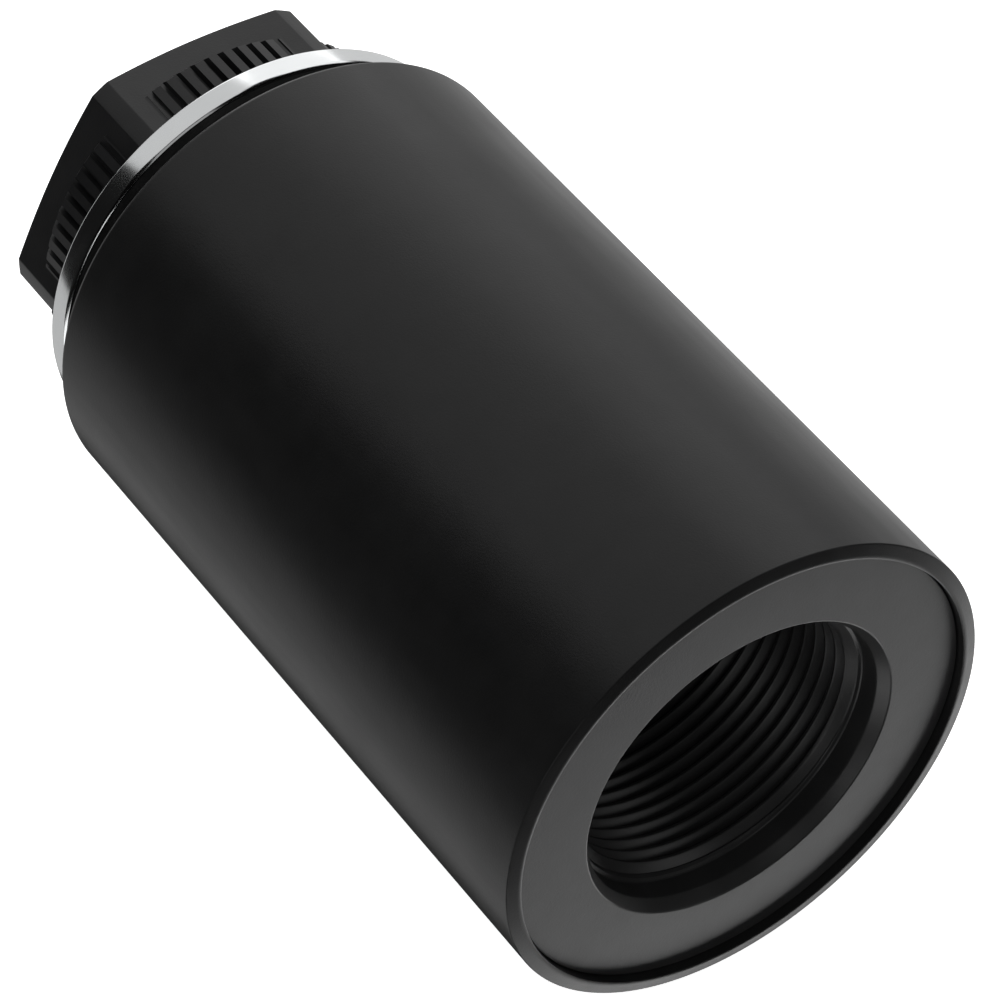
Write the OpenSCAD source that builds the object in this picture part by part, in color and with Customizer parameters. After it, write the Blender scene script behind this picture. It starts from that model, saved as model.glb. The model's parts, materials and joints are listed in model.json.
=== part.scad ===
// In-line surge protector with a threaded hub, a clamping ring and a hexagon locknut.
// The axis of the device lies along X. X = 0 is the plane where a panel is clamped,
// +X points to the open hub, -X to the locknut, and +Z is up. All sizes are millimetres.

/* [Body] */
// Outside diameter of the moulded body
body_d = 50; // [48:0.5:70]
// Length of the body, from its rear shoulder to its rim
body_length = 74.5; // [66:0.1:110]
// Wall of the body around the electronics
body_wall = 2.5; // [2:0.1:4]
// Wall of the thin rim around the recessed end face
rim_wall = 1.5; // [1:0.1:1.8]
// Depth of the end face below the rim
face_recess = 0.85; // [0.4:0.05:3]
// Thickness of the body's rear wall
rear_wall = 3.3; // [2.5:0.1:5]
// Rounding of the body's rear outer edge
rear_round = 0.6; // [0.3:0.1:2]
// Bevel of the rim's outer edge
rim_bevel = 0.4; // [0.1:0.05:0.8]

/* [Threaded hub] */
// Major diameter of the female thread in the hub
hub_thread_d = 30; // [26:0.5:32]
// Pitch of the female thread
hub_pitch = 1.5; // [1:0.25:2]
// Wall of the hub outside the thread
hub_wall = 2.6; // [2:0.1:4]
// Depth of the plain mouth between the end face and the thread
mouth_depth = 3.35; // [2:0.05:6]
// Radial size of the bevel around the mouth
mouth_bevel = 0.8; // [0.3:0.05:1.5]
// Axial depth of the bevel around the mouth
mouth_bevel_depth = 1.12; // [0.5:0.01:2]
// Radial room between the thread's major diameter and the plain bores at its two ends
thread_relief = 0.4; // [0.2:0.05:1]
// Length of the plain bore behind the thread
relief_length = 5; // [2:0.5:8]
// Thickness of the hub's flange
flange_t = 4; // [3.5:0.1:6]
// Thickness of the hub's floor
hub_floor = 3; // [2:0.1:5]
// Diameter of the rubber cord of the hub's O-ring
o_ring_cord = 1.6; // [1.2:0.1:2]

/* [Nipple and locknut] */
// Major diameter of the male thread on the nipple
nipple_d = 30; // [28:0.5:32]
// Diameter of the lead passage in the nipple
nipple_bore_d = 22; // [16:0.5:24]
// Distance from the nipple's end to the locknut's outer face
nipple_inset = 0.8; // [0.3:0.1:3]
// Size across the flats of the locknut
nut_af = 36; // [36:0.5:38]
// Diameter over the locknut's turned corners
nut_corner_d = 40.5; // [40:0.1:41]
// Height of the locknut
nut_height = 11.4; // [9:0.1:16]
// Slope of the bevel on the locknut's corners, in degrees
nut_bevel_angle = 14.5; // [5:0.5:30]
// Diameter over the tips of the grip teeth
teeth_d = 39.1; // [38.6:0.1:39.6]
// Depth of the grip teeth
tooth_depth = 0.85; // [0.5:0.05:1.2]
// Number of grip teeth
tooth_count = 78; // [60:6:90]
// Length of the toothed collar
teeth_length = 7.6; // [4:0.1:8]

/* [Clamping ring and gasket] */
// Outside diameter of the metal clamping ring
ring_d = 45.7; // [42:0.1:48]
// Thickness of the metal clamping ring
ring_t = 2.5; // [1.5:0.1:4]
// Outside diameter of the rubber panel gasket
gasket_d = 42; // [38:0.5:44]
// Thickness of the rubber panel gasket
gasket_t = 2.8; // [1.5:0.1:5]

/* [Electronics] */
// Thickness of both circuit boards
board_t = 1.6; // [1:0.2:2.4]
// Height of the bosses that carry the power board
boss_height = 3; // [2:0.5:5]
// Diameter of the varistor discs
varistor_d = 20; // [14:0.5:21]
// Thickness of the varistor discs
varistor_t = 4.5; // [3.5:0.1:6]
// Diameter of the thermal fuses
fuse_d = 4; // [3:0.5:5]
// Length of the thermal fuses
fuse_length = 11; // [8:0.5:13]
// Diameter of the gas discharge tube
gas_tube_d = 8; // [6:0.5:9]
// Length of the gas discharge tube
gas_tube_length = 10; // [8:0.5:12]
// Size across the flats of the board spacers
spacer_af = 5; // [4:0.5:5.5]
// Width, thickness and height of a filter capacitor
capacitor_size = [12, 5, 10];
// Spacing of the terminals
terminal_pitch = 8; // [7:0.5:8]
// Width of the terminal block
terminal_w = 12; // [11:0.5:12]
// Height of the terminal block
terminal_h = 11; // [11:0.5:12.5]

/* [Hidden] */
$fn = 96;

// Clearances
seat_gap = 0.1;          // between pieces that are pushed or bonded together
thread_gap = 0.05;       // radial clearance of screws and of the locknut's bore
ring_gap = 0.3;          // radial clearance of the loose ring on the nipple
part_gap = 0.5;          // room left around components
lead_r = 0.4;            // component leads
lead_hole_r = 0.5;       // plated holes for them
lead_tail = 0.8;         // length of a lead past its board
lead_stand = 1.5;        // height of a component above its board
cut = 1;                 // overrun of cutting solids

// Along the axis, from the clamping plane towards the rim
shoulder_x = gasket_t;
rim_x = shoulder_x + body_length;
face_x = rim_x - face_recess;
flange_x = face_x - flange_t;
chamber_x = shoulder_x + rear_wall;
power_x = chamber_x + boss_height;
power_top_x = power_x + board_t;
terminal_x = power_top_x + varistor_d + 2 * lead_stand;
terminal_top_x = terminal_x + board_t;
hub_floor_x = terminal_top_x + 5;
hub_floor_top_x = hub_floor_x + hub_floor;
thread_low_x = hub_floor_top_x + relief_length;
thread_high_x = face_x - mouth_depth;

// Along the axis, from the clamping plane towards the locknut
nut_seat_x = -ring_t;
nut_end_x = nut_seat_x - nut_height;
nipple_end_x = nut_end_x + nipple_inset;

// Radii
body_r = body_d / 2;
chamber_r = body_r - body_wall;
rim_r = body_r - rim_wall;
flange_r = rim_r - seat_gap;
thread_r = hub_thread_d / 2;
thread_minor_r = thread_r - 0.5413 * hub_pitch;
hub_r = thread_r + hub_wall;
nipple_r = nipple_d / 2;
bushing_r = nipple_bore_d / 2;
board_r = chamber_r - part_gap;

// Places of the electronics
varistor_out = sqrt(pow(chamber_r - part_gap, 2) - pow(varistor_d / 2, 2));
varistor_in = varistor_out - varistor_t;
fuse_place = varistor_in - 0.3 - fuse_d / 2;
spacer_place = chamber_r - spacer_af / sqrt(3) - 0.6;
link_place = spacer_place - spacer_af;
boss_r = spacer_af / sqrt(3);
boss_root = 0.5;
screw_r = 1.5;
varistor_lead_pitch = 7.5;
gas_tube_h = lead_stand + gas_tube_d / 2;
terminal_count = 3;
terminal_length = terminal_count * terminal_pitch;
terminal_screw_off = 2.6;
capacitor_place = terminal_w / 2 + 1;   // leads clear the terminal block above them
terminal_wire_off = -2.8;
clamp_size = [9, 6, 3];
clamp_h = 1.8;

// The solids are turned about Z and then laid along X.
module along_axis(x = 0) { rotate([0, 90, 0]) translate([0, 0, x]) children(); }

module at_sides(place) {
    for (i = [0:3]) rotate(90 * i) translate([place, 0, 0]) children();
}

module at_corners(place) {
    for (i = [0:3]) rotate(45 + 90 * i) translate([place, 0, 0]) children();
}

module tube(outer, inner, length) {
    difference() {
        cylinder(r = outer, h = length);
        translate([0, 0, -cut]) cylinder(r = inner, h = length + 2 * cut);
    }
}

// Points of a quarter round, from angle a to angle b about a centre
function arc(centre, radius, a, b, steps = 4) =
    [for (i = [0:steps]) let (t = a + (b - a) * i / steps)
        centre + radius * [cos(t), sin(t)]];

module housing() color("#1c1c1e") along_axis() {
    profile = concat(
        [[bushing_r, nipple_end_x], [nipple_r - 0.5, nipple_end_x],
         [nipple_r, nipple_end_x + 0.5], [nipple_r, shoulder_x]],
        arc([body_r - rear_round, shoulder_x + rear_round], rear_round, -90, 0),
        [[body_r, rim_x - rim_bevel], [body_r - rim_bevel, rim_x], [rim_r, rim_x],
         [rim_r, flange_x], [chamber_r, flange_x], [chamber_r, chamber_x],
         [bushing_r, chamber_x]]);
    rotate_extrude() polygon(profile);
    at_corners(spacer_place) translate([0, 0, chamber_x]) boss();
}

// A boss grows out of the rear wall, with a blind hole for the stud of a spacer.
module boss() {
    difference() {
        translate([0, 0, -boss_root]) cylinder(r = boss_r, h = boss_height + boss_root);
        translate([0, 0, 0.4]) cylinder(r = screw_r + thread_gap, h = boss_height);
    }
}

module front_hub() color("#2b2b2d") along_axis() {
    mouth_r = thread_r + thread_relief;
    groove_low = flange_x + 1.1;
    groove_high = groove_low + o_ring_cord + 0.3;
    groove_r = rim_r - o_ring_cord;
    profile = [
        [0, hub_floor_x], [hub_r, hub_floor_x], [hub_r, flange_x], [flange_r, flange_x],
        [flange_r, groove_low], [groove_r, groove_low], [groove_r, groove_high],
        [flange_r, groove_high], [flange_r, face_x],
        [mouth_r + mouth_bevel, face_x], [mouth_r, face_x - mouth_bevel_depth],
        [mouth_r, thread_high_x + thread_relief], [thread_minor_r, thread_high_x],
        [thread_minor_r, thread_low_x], [mouth_r, thread_low_x - thread_relief],
        [mouth_r, hub_floor_top_x], [0, hub_floor_top_x]];
    difference() {
        rotate_extrude() polygon(profile);
        translate([0, 0, hub_floor_x + hub_floor / 2])
            cube([terminal_w + 2 * part_gap, terminal_length + 2 * part_gap,
                  hub_floor + 2 * cut], center = true);
    }
}

module hub_o_ring() color("#101010")
    along_axis(flange_x + 1.25 + o_ring_cord / 2) rotate_extrude()
        translate([rim_r - o_ring_cord / 2, 0]) circle(d = o_ring_cord, $fn = 32);

module resin_seal() color("#3a3632")
    along_axis(hub_floor_top_x) difference() {
        tube(chamber_r - thread_gap, hub_r + thread_gap, flange_x - hub_floor_top_x - 1.5);
        // The fill shrinks to a shallow ring-shaped dip as it sets.
        dip = (chamber_r - hub_r) / 5;
        translate([0, 0, flange_x - hub_floor_top_x - 2])
            tube((chamber_r + hub_r) / 2 + dip, (chamber_r + hub_r) / 2 - dip, cut);
    }

module at_terminals() {
    for (i = [0:terminal_count - 1])
        translate([0, (i - (terminal_count - 1) / 2) * terminal_pitch, 0]) children();
}

module terminal_block() color("#3c6b45") along_axis(terminal_top_x) difference() {
    translate([-terminal_w / 2, -terminal_length / 2, 0])
        cube([terminal_w, terminal_length, terminal_h]);
    at_terminals() {
        translate([0, 0, clamp_h + clamp_size.z / 2])
            cube(clamp_size + 2 * seat_gap * [1, 1, 1], center = true);
        translate([terminal_screw_off, 0, clamp_h + clamp_size.z])
            cylinder(r = 2, h = terminal_h, $fn = 32);
        translate([terminal_wire_off, 0, clamp_h + clamp_size.z])
            cylinder(r = 1.7, h = terminal_h, $fn = 32);
        translate([0, 0, -cut]) cylinder(r = 0.6, h = clamp_h + 2 * cut, $fn = 24);
    }
}

module terminal_clamps() color("#b99a4a") along_axis(terminal_top_x) at_terminals() {
    difference() {
        translate([0, 0, clamp_h + clamp_size.z / 2]) cube(clamp_size, center = true);
        translate([terminal_screw_off, 0, clamp_h - cut])
            cylinder(r = 1.4, h = clamp_size.z + 2 * cut, $fn = 24);
        translate([terminal_wire_off, 0, clamp_h + 0.6])
            cylinder(r = 1.6, h = clamp_size.z, $fn = 24);
    }
    translate([0, 0, -board_t - lead_tail])
        cylinder(r = lead_hole_r, h = board_t + lead_tail + clamp_h + 0.2, $fn = 24);
}

module terminal_screws() color("#c8c8c2")
    along_axis(terminal_top_x + clamp_h) at_terminals() translate([terminal_screw_off, 0, 0]) {
        difference() {
            translate([0, 0, clamp_size.z + 0.2]) cylinder(r = 1.8, h = 2.2, $fn = 32);
            translate([0, 0, clamp_size.z + 2.4]) cube([0.6, 5, 1.6], center = true);
        }
        translate([0, 0, 0.3]) cylinder(r = 1.35, h = clamp_size.z, $fn = 24);
    }

module board_blank(holes_r) difference() {
    cylinder(r = board_r, h = board_t);
    at_corners(spacer_place) translate([0, 0, -cut])
        cylinder(r = screw_r + 0.2, h = board_t + 2 * cut, $fn = 32);
    at_corners(link_place) translate([0, 0, -cut])
        cylinder(r = holes_r, h = board_t + 2 * cut, $fn = 24);
}

module through_hole() {
    translate([0, 0, -cut]) cylinder(r = lead_hole_r, h = board_t + 2 * cut, $fn = 24);
}

module at_capacitor_leads() {
    for (side = [-1, 1], end = [-1, 1])
        translate([side * capacitor_place, end * 4.5, 0]) children();
}

module terminal_board() color("#1f5a33") along_axis(terminal_x) difference() {
    board_blank(0.65);
    at_capacitor_leads() through_hole();
    at_terminals() translate([0, 0, -cut]) cylinder(r = 0.6, h = board_t + 2 * cut, $fn = 24);
}

module power_board() color("#1f5a33") along_axis(power_x) difference() {
    board_blank(0.65);
    at_sides((varistor_out + varistor_in) / 2) for (end = [-1, 1])
        translate([0, end * varistor_lead_pitch / 2, 0]) through_hole();
    at_sides(fuse_place) through_hole();
    for (end = [-1:1]) translate([0, end * (gas_tube_length / 2 - 0.6), 0]) through_hole();
}

module board_screws() color("#c4c6c8")
    along_axis(terminal_top_x + 0.6) at_corners(spacer_place) {
        difference() {
            cylinder(r1 = 2.7, r2 = 2.2, h = 2, $fn = 32);
            for (a = [0, 90]) rotate(a)
                translate([0, 0, 1.6]) cube([2.8, 0.6, 1.4], center = true);
        }
        translate([0, 0, -board_t - 5]) cylinder(r = screw_r, h = board_t + 5.2, $fn = 32);
    }

module lock_washers() color("#9fa2a5")
    along_axis(terminal_top_x) at_corners(spacer_place)
        tube(2.8, screw_r + seat_gap, 0.6);

module board_spacers() color("#b8964a") along_axis(power_top_x) at_corners(spacer_place) {
    length = varistor_d + 2 * lead_stand;
    difference() {
        cylinder(d = spacer_af / cos(30), h = length, $fn = 6);
        translate([0, 0, length - 7]) cylinder(r = screw_r + thread_gap, h = 8, $fn = 32);
    }
    translate([0, 0, -board_t - boss_height + 0.6])
        cylinder(r = screw_r, h = board_t + boss_height, $fn = 32);
}

module link_pins() color("#c9b06a") along_axis(power_x - lead_tail)
    at_corners(link_place)
        cylinder(r = lead_hole_r, h = terminal_top_x - power_x + 2 * lead_tail, $fn = 24);

// A varistor stands on edge, facing the axis, with both leads in the power board.
module varistor(index) color("#2f5f9e") along_axis(power_top_x) rotate(90 * index) {
    edge = 0.8;
    half = varistor_t / 2;
    disc_r = varistor_d / 2;
    translate([(varistor_out + varistor_in) / 2, 0, lead_stand + disc_r]) rotate([0, 90, 0])
        rotate_extrude() polygon([[0, -half], [disc_r - edge, -half], [disc_r, edge - half],
                                  [disc_r, half - edge], [disc_r - edge, half], [0, half]]);
    for (end = [-1, 1])
        translate([(varistor_out + varistor_in) / 2, end * varistor_lead_pitch / 2,
                   -board_t - lead_tail])
            cylinder(r = lead_r, h = board_t + lead_tail + lead_stand + 2.5, $fn = 24);
}

module varistor_1() varistor(0);
module varistor_2() varistor(1);
module varistor_3() varistor(2);
module varistor_4() varistor(3);

module thermal_fuses() color("#d8d4c8") along_axis(power_top_x) at_sides(fuse_place) {
    translate([0, 0, lead_stand + 1]) cylinder(d = fuse_d, h = fuse_length, $fn = 32);
    translate([0, 0, -board_t - lead_tail])
        cylinder(r = lead_r, h = board_t + lead_tail + fuse_length + 5, $fn = 24);
}

module gas_tube() color("#c7c2b4") along_axis(power_top_x) {
    translate([0, gas_tube_length / 2, gas_tube_h]) rotate([90, 0, 0])
        cylinder(d = gas_tube_d, h = gas_tube_length, $fn = 48);
    for (end = [-1:1]) translate([0, end * (gas_tube_length / 2 - 0.6), -board_t - lead_tail])
        cylinder(r = lead_r, h = board_t + lead_tail + gas_tube_h, $fn = 24);
}

module filter_capacitors() color("#c9a227") along_axis(terminal_x) {
    for (side = [-1, 1])
        translate([side * capacitor_place, 0, -capacitor_size.z / 2 - 0.3])
            cube([capacitor_size.y, capacitor_size.x, capacitor_size.z], center = true);
    at_capacitor_leads() translate([0, 0, -2])
        cylinder(r = lead_r, h = 2 + board_t + lead_tail, $fn = 24);
}

module insulating_disc() color("#d9d2bd") along_axis(chamber_x) difference() {
    tube(board_r, bushing_r + seat_gap, 0.5);
    at_corners(spacer_place) translate([0, 0, -cut])
        cylinder(r = boss_r + 0.2, h = 2 * cut + 0.5, $fn = 32);
}

module lead_bushing() color("#161616") along_axis(nipple_end_x) difference() {
    length = chamber_x - nipple_end_x;
    cylinder(r = bushing_r - thread_gap, h = length);
    at_corners(bushing_r / 2) translate([0, 0, -cut])
        cylinder(r = 1.7, h = length + 2 * cut, $fn = 32);
}

module panel_gasket() color("#141414")
    along_axis() tube(gasket_d / 2, nipple_r + thread_gap, gasket_t);

module clamp_ring() color("#d5d9da") along_axis(-ring_t) {
    edge = 0.25;
    inner = nipple_r + ring_gap;
    outer = ring_d / 2;
    rotate_extrude() polygon([
        [inner, 0], [outer - edge, 0], [outer, edge], [outer, ring_t - edge],
        [outer - edge, ring_t], [inner, ring_t]]);
}

// Outline of the toothed collar: broad teeth with narrower grooves between them
function tooth_outline(tip, root, count) =
    [for (i = [0:count - 1], p = [[-0.38, root], [-0.28, tip], [0.28, tip], [0.38, root]])
        let (a = 360 * (i + p[0]) / count) p[1] * [cos(a), sin(a)]];

module locknut() color("#26262a") along_axis(nut_end_x) {
    corner_r = nut_corner_d / 2;
    flat_r = nut_af / 2;
    drop = (corner_r - flat_r) * tan(nut_bevel_angle);
    tip_r = teeth_d / 2;
    root_r = tip_r - tooth_depth;
    bore_r = nipple_r + thread_gap;
    difference() {
        union() {
            intersection() {
                rotate(30) cylinder(r = flat_r / cos(30), h = nut_height, $fn = 6);
                rotate_extrude() polygon([
                    [0, 0], [flat_r, 0], [corner_r, drop], [corner_r, nut_height],
                    [0, nut_height]]);
            }
            translate([0, 0, nut_height - teeth_length]) intersection() {
                linear_extrude(teeth_length)
                    polygon(tooth_outline(tip_r, root_r, tooth_count));
                rotate_extrude() polygon([
                    [0, 0], [root_r, 0], [tip_r, tooth_depth], [tip_r + 1, teeth_length],
                    [0, teeth_length]]);
            }
        }
        translate([0, 0, -cut]) cylinder(r = bore_r, h = nut_height + 2 * cut);
        translate([0, 0, -0.01]) cylinder(r1 = bore_r + 0.6, r2 = bore_r, h = 0.6);
    }
}

housing();
front_hub();
hub_o_ring();
resin_seal();
terminal_block();
terminal_clamps();
terminal_screws();
terminal_board();
board_screws();
lock_washers();
board_spacers();
link_pins();
varistor_1();
varistor_2();
varistor_3();
varistor_4();
thermal_fuses();
gas_tube();
filter_capacitors();
power_board();
insulating_disc();
lead_bushing();
panel_gasket();
clamp_ring();
locknut();
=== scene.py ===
# %% [markdown]
# A surge protector for a whole house. A round body of black moulded plastic holds the
# electronics. One end is a threaded hub, the other a nipple with a metal clamping ring and a
# toothed locknut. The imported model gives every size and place, so it is loaded first, and
# nothing in it is moved.

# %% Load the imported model
import json
import math

import bmesh
import bpy
from mathutils import Matrix, Vector


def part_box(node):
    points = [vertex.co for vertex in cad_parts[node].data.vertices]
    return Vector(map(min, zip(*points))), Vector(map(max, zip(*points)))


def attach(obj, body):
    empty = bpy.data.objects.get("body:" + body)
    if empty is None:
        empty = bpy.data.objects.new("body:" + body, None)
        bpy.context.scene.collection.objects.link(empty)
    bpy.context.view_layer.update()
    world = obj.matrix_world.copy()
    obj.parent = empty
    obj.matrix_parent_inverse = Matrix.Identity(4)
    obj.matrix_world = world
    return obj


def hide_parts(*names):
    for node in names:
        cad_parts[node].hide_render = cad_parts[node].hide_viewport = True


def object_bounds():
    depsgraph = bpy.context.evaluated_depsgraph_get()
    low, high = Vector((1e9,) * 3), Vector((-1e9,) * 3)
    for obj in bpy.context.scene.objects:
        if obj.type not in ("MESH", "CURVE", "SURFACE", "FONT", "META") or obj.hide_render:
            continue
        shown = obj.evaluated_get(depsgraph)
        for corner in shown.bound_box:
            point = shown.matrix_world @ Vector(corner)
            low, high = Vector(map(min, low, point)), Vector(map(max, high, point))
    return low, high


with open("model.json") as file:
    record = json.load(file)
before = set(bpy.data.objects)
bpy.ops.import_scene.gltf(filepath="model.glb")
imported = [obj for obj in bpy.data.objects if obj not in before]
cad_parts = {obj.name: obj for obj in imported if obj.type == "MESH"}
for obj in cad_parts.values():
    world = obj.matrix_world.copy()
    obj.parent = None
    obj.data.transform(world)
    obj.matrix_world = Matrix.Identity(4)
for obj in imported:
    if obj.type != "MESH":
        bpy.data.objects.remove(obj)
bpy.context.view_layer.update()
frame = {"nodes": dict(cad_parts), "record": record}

# %% [markdown]
# Sizes are read from the model in millimetres, because thread pitches and edge breaks are
# easier to think of that way. The axis of the device is X, so the largest Y or Z of a round
# node is its radius.

# %% Read the sizes
MM = 0.001


def span(node):
    """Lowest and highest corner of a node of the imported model, in millimetres."""
    low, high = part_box(node)
    return low / MM, high / MM


body_low, body_high = span("housing")
hub_low, hub_high = span("front_hub")
ring_low, ring_high = span("clamp_ring")
gasket_low, gasket_high = span("panel_gasket")
nut_low, nut_high = span("locknut")
bushing_low, bushing_high = span("lead_bushing")
mounts = {m["name"]: m for m in frame["record"]["mounts"]}
hub_mount = mounts["hub_thread"]

body_r = body_high.y
rim_x = body_high.x
face_x = mounts["end_face"]["pos_m"][0] / MM
shoulder_x = gasket_high.x
nipple_end = body_low.x
thread_minor_r = hub_mount["dims"]["r_mm"]
thread_middle = hub_mount["pos_m"][0] / MM
thread_low = thread_middle - hub_mount["dims"]["length_mm"] / 2
thread_high = thread_middle + hub_mount["dims"]["length_mm"] / 2
print("body radius", round(body_r, 2), "rim", round(rim_x, 2), "end face", round(face_x, 2))
print("hub thread from", round(thread_low, 2), "to", round(thread_high, 2))

# %% [markdown]
# The camera comes early, so that every piece can be judged as it is made. It looks down on
# the device from the hub's side, with a long lens from less than half a metre.

# %% Place the camera
CAMERA_AZIMUTH = 56.1
CAMERA_HEIGHT = 46.3
CAMERA_DISTANCE = 0.4393
CAMERA_AIM = Vector((0.0383, 0.0005, 0.0003))
CAMERA_LENS = 173.8


def direction(azimuth, elevation):
    """Unit vector from the object towards a viewer at that azimuth and elevation."""
    a = math.radians(azimuth)
    e = math.radians(elevation)
    return Vector((math.sin(a) * math.cos(e), -math.cos(a) * math.cos(e), math.sin(e)))


camera_data = bpy.data.cameras.new("camera")
camera_data.lens = CAMERA_LENS
camera_data.sensor_width = 36
camera = bpy.data.objects.new("camera", camera_data)
bpy.context.scene.collection.objects.link(camera)
toward = direction(CAMERA_AZIMUTH, CAMERA_HEIGHT)
camera.location = CAMERA_AIM + toward * CAMERA_DISTANCE
camera.rotation_mode = "QUATERNION"
camera.rotation_quaternion = (-toward).to_track_quat("-Z", "Y")
bpy.context.scene.camera = camera
print("camera at", [round(c, 3) for c in camera.location])

# %% [markdown]
# Most pieces are turned, so one helper draws an outline beside the axis and another spins it
# round. The outline is drawn sharp, and its edges are rounded afterwards with a bevel, as a
# toolmaker would break them.

# %% Outlines, spins and rounded edges
TURN_STEPS = 192
TOUCH = 1e-3


def outline(points, closed=True):
    """A bmesh with one outline of (distance along X, radius) points, in millimetres."""
    bm = bmesh.new()
    verts = [bm.verts.new((x, 0, r)) for x, r in points]
    for a, b in zip(verts, verts[1:]):
        bm.edges.new((a, b))
    if closed:
        bm.edges.new((verts[-1], verts[0]))
    return bm


def spin_round(bm, steps=TURN_STEPS):
    """Spins everything in the bmesh once round the X axis."""
    bmesh.ops.spin(bm, geom=bm.verts[:] + bm.edges[:], cent=(0, 0, 0), axis=(1, 0, 0),
                   angle=math.tau, steps=steps, use_merge=True)
    bmesh.ops.remove_doubles(bm, verts=bm.verts, dist=TOUCH / 10)


def radius_of(vert):
    """Distance of a vertex from the X axis."""
    return math.hypot(vert.co.y, vert.co.z)


def rings_at(bm, x, r):
    """The edges of the circle at that place and radius."""
    return [e for e in bm.edges
            if all(abs(v.co.x - x) < TOUCH and abs(radius_of(v) - r) < TOUCH for v in e.verts)]


def soften(bm, edges, width, segments=3):
    """Rounds edges by a width in millimetres."""
    bmesh.ops.bevel(bm, geom=edges, offset=width, offset_type="OFFSET", affect="EDGES",
                    segments=segments, profile=0.5, material=-1, clamp_overlap=True)


def join_loops(bm, first, second):
    """Fills the band between two open loops of edges."""
    bmesh.ops.bridge_loops(bm, edges=first + second)


def open_loop_at(bm, x):
    """The open edges that lie in the plane at that x."""
    return [e for e in bm.edges
            if e.is_boundary and all(abs(v.co.x - x) < TOUCH for v in e.verts)]


def merge_in(bm, other):
    """Copies another bmesh into this one and frees it."""
    mesh = bpy.data.meshes.new("part")
    other.to_mesh(mesh)
    other.free()
    bm.from_mesh(mesh)
    bpy.data.meshes.remove(mesh)


def boolean(bm, tool, operation):
    """Combines two closed shapes with Blender's exact boolean and gives the result."""
    objects = []
    for name, shape in (("blank", bm), ("tool", tool)):
        mesh = bpy.data.meshes.new(name)
        shape.to_mesh(mesh)
        shape.free()
        obj = bpy.data.objects.new(name, mesh)
        bpy.context.scene.collection.objects.link(obj)
        objects.append(obj)
    modifier = objects[0].modifiers.new("join", "BOOLEAN")
    modifier.operation = operation
    modifier.solver = "EXACT"
    modifier.object = objects[1]
    bpy.context.view_layer.update()
    result = bmesh.new()
    result.from_object(objects[0], bpy.context.evaluated_depsgraph_get())
    for obj in objects:
        mesh = obj.data
        bpy.data.objects.remove(obj)
        bpy.data.meshes.remove(mesh)
    return result


def piece(bm, name, body, material, nodes=(), sharp=30):
    """Turns a bmesh in millimetres into a finished piece that rides on a body."""
    bmesh.ops.recalc_face_normals(bm, faces=bm.faces)
    bmesh.ops.scale(bm, vec=(MM, MM, MM), verts=bm.verts)
    mesh = bpy.data.meshes.new(name)
    bm.to_mesh(mesh)
    open_edges = sum(1 for e in bm.edges if not e.is_manifold)
    bm.free()
    mesh.shade_smooth()
    mesh.set_sharp_from_angle(angle=math.radians(sharp))
    obj = bpy.data.objects.new(name, mesh)
    bpy.context.scene.collection.objects.link(obj)
    mesh.materials.append(material)
    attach(obj, body)
    if nodes:
        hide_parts(*nodes)
    weigh = obj.modifiers.new("flat_faces_stay_flat", "WEIGHTED_NORMAL")
    weigh.mode = "FACE_AREA"
    weigh.keep_sharp = True
    mesh.calc_loop_triangles()
    print(name, "triangles:", len(mesh.loop_triangles), "open edges:", open_edges)

# %% [markdown]
# Every finish is built from the same few blocks: a Principled shader with its constant values
# set on its own sockets, a slow noise that varies the roughness, as handling and moulding do,
# and a fine noise as bump for the grain of the tool.

# %% Material blocks


def finish(name, color, roughness, metallic=0.0, specular=0.5):
    """A Principled material with constant values on its own sockets."""
    material = bpy.data.materials.new(name)
    material.use_nodes = True
    shader = material.node_tree.nodes["Principled BSDF"]
    shader.inputs["Base Color"].default_value = (*color, 1)
    shader.inputs["Roughness"].default_value = roughness
    shader.inputs["Metallic"].default_value = metallic
    shader.inputs["Specular IOR Level"].default_value = specular
    return material


def noise(material, scale, detail=3.0, stretch=(1, 1, 1)):
    """A noise on object coordinates, stretched along the axes as asked."""
    nodes = material.node_tree.nodes
    links = material.node_tree.links
    place = nodes.new("ShaderNodeTexCoord")
    mapping = nodes.new("ShaderNodeMapping")
    mapping.inputs["Scale"].default_value = stretch
    texture = nodes.new("ShaderNodeTexNoise")
    texture.inputs["Scale"].default_value = scale
    texture.inputs["Detail"].default_value = detail
    links.new(place.outputs["Object"], mapping.inputs["Vector"])
    links.new(mapping.outputs["Vector"], texture.inputs["Vector"])
    return texture.outputs["Fac"]


def spread(material, value, low, high, start=0.3, end=0.7):
    """Maps a value to a range."""
    node = material.node_tree.nodes.new("ShaderNodeMapRange")
    node.inputs["From Min"].default_value = start
    node.inputs["From Max"].default_value = end
    node.inputs["To Min"].default_value = low
    node.inputs["To Max"].default_value = high
    material.node_tree.links.new(value, node.inputs["Value"])
    return node.outputs["Result"]


def shader_of(material):
    """The material's Principled shader."""
    return material.node_tree.nodes["Principled BSDF"]


def vary_roughness(material, value, low, high):
    """Roughness wanders between two values."""
    material.node_tree.links.new(spread(material, value, low, high),
                                 shader_of(material).inputs["Roughness"])


def vary_color(material, value, dark, light, start=0.3, end=0.7):
    """Base colour wanders between two colours."""
    nodes = material.node_tree.nodes
    ramp = nodes.new("ShaderNodeValToRGB")
    ramp.color_ramp.elements[0].position = start
    ramp.color_ramp.elements[0].color = (*dark, 1)
    ramp.color_ramp.elements[1].position = end
    ramp.color_ramp.elements[1].color = (*light, 1)
    material.node_tree.links.new(value, ramp.inputs["Fac"])
    material.node_tree.links.new(ramp.outputs["Color"],
                                 shader_of(material).inputs["Base Color"])


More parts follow.
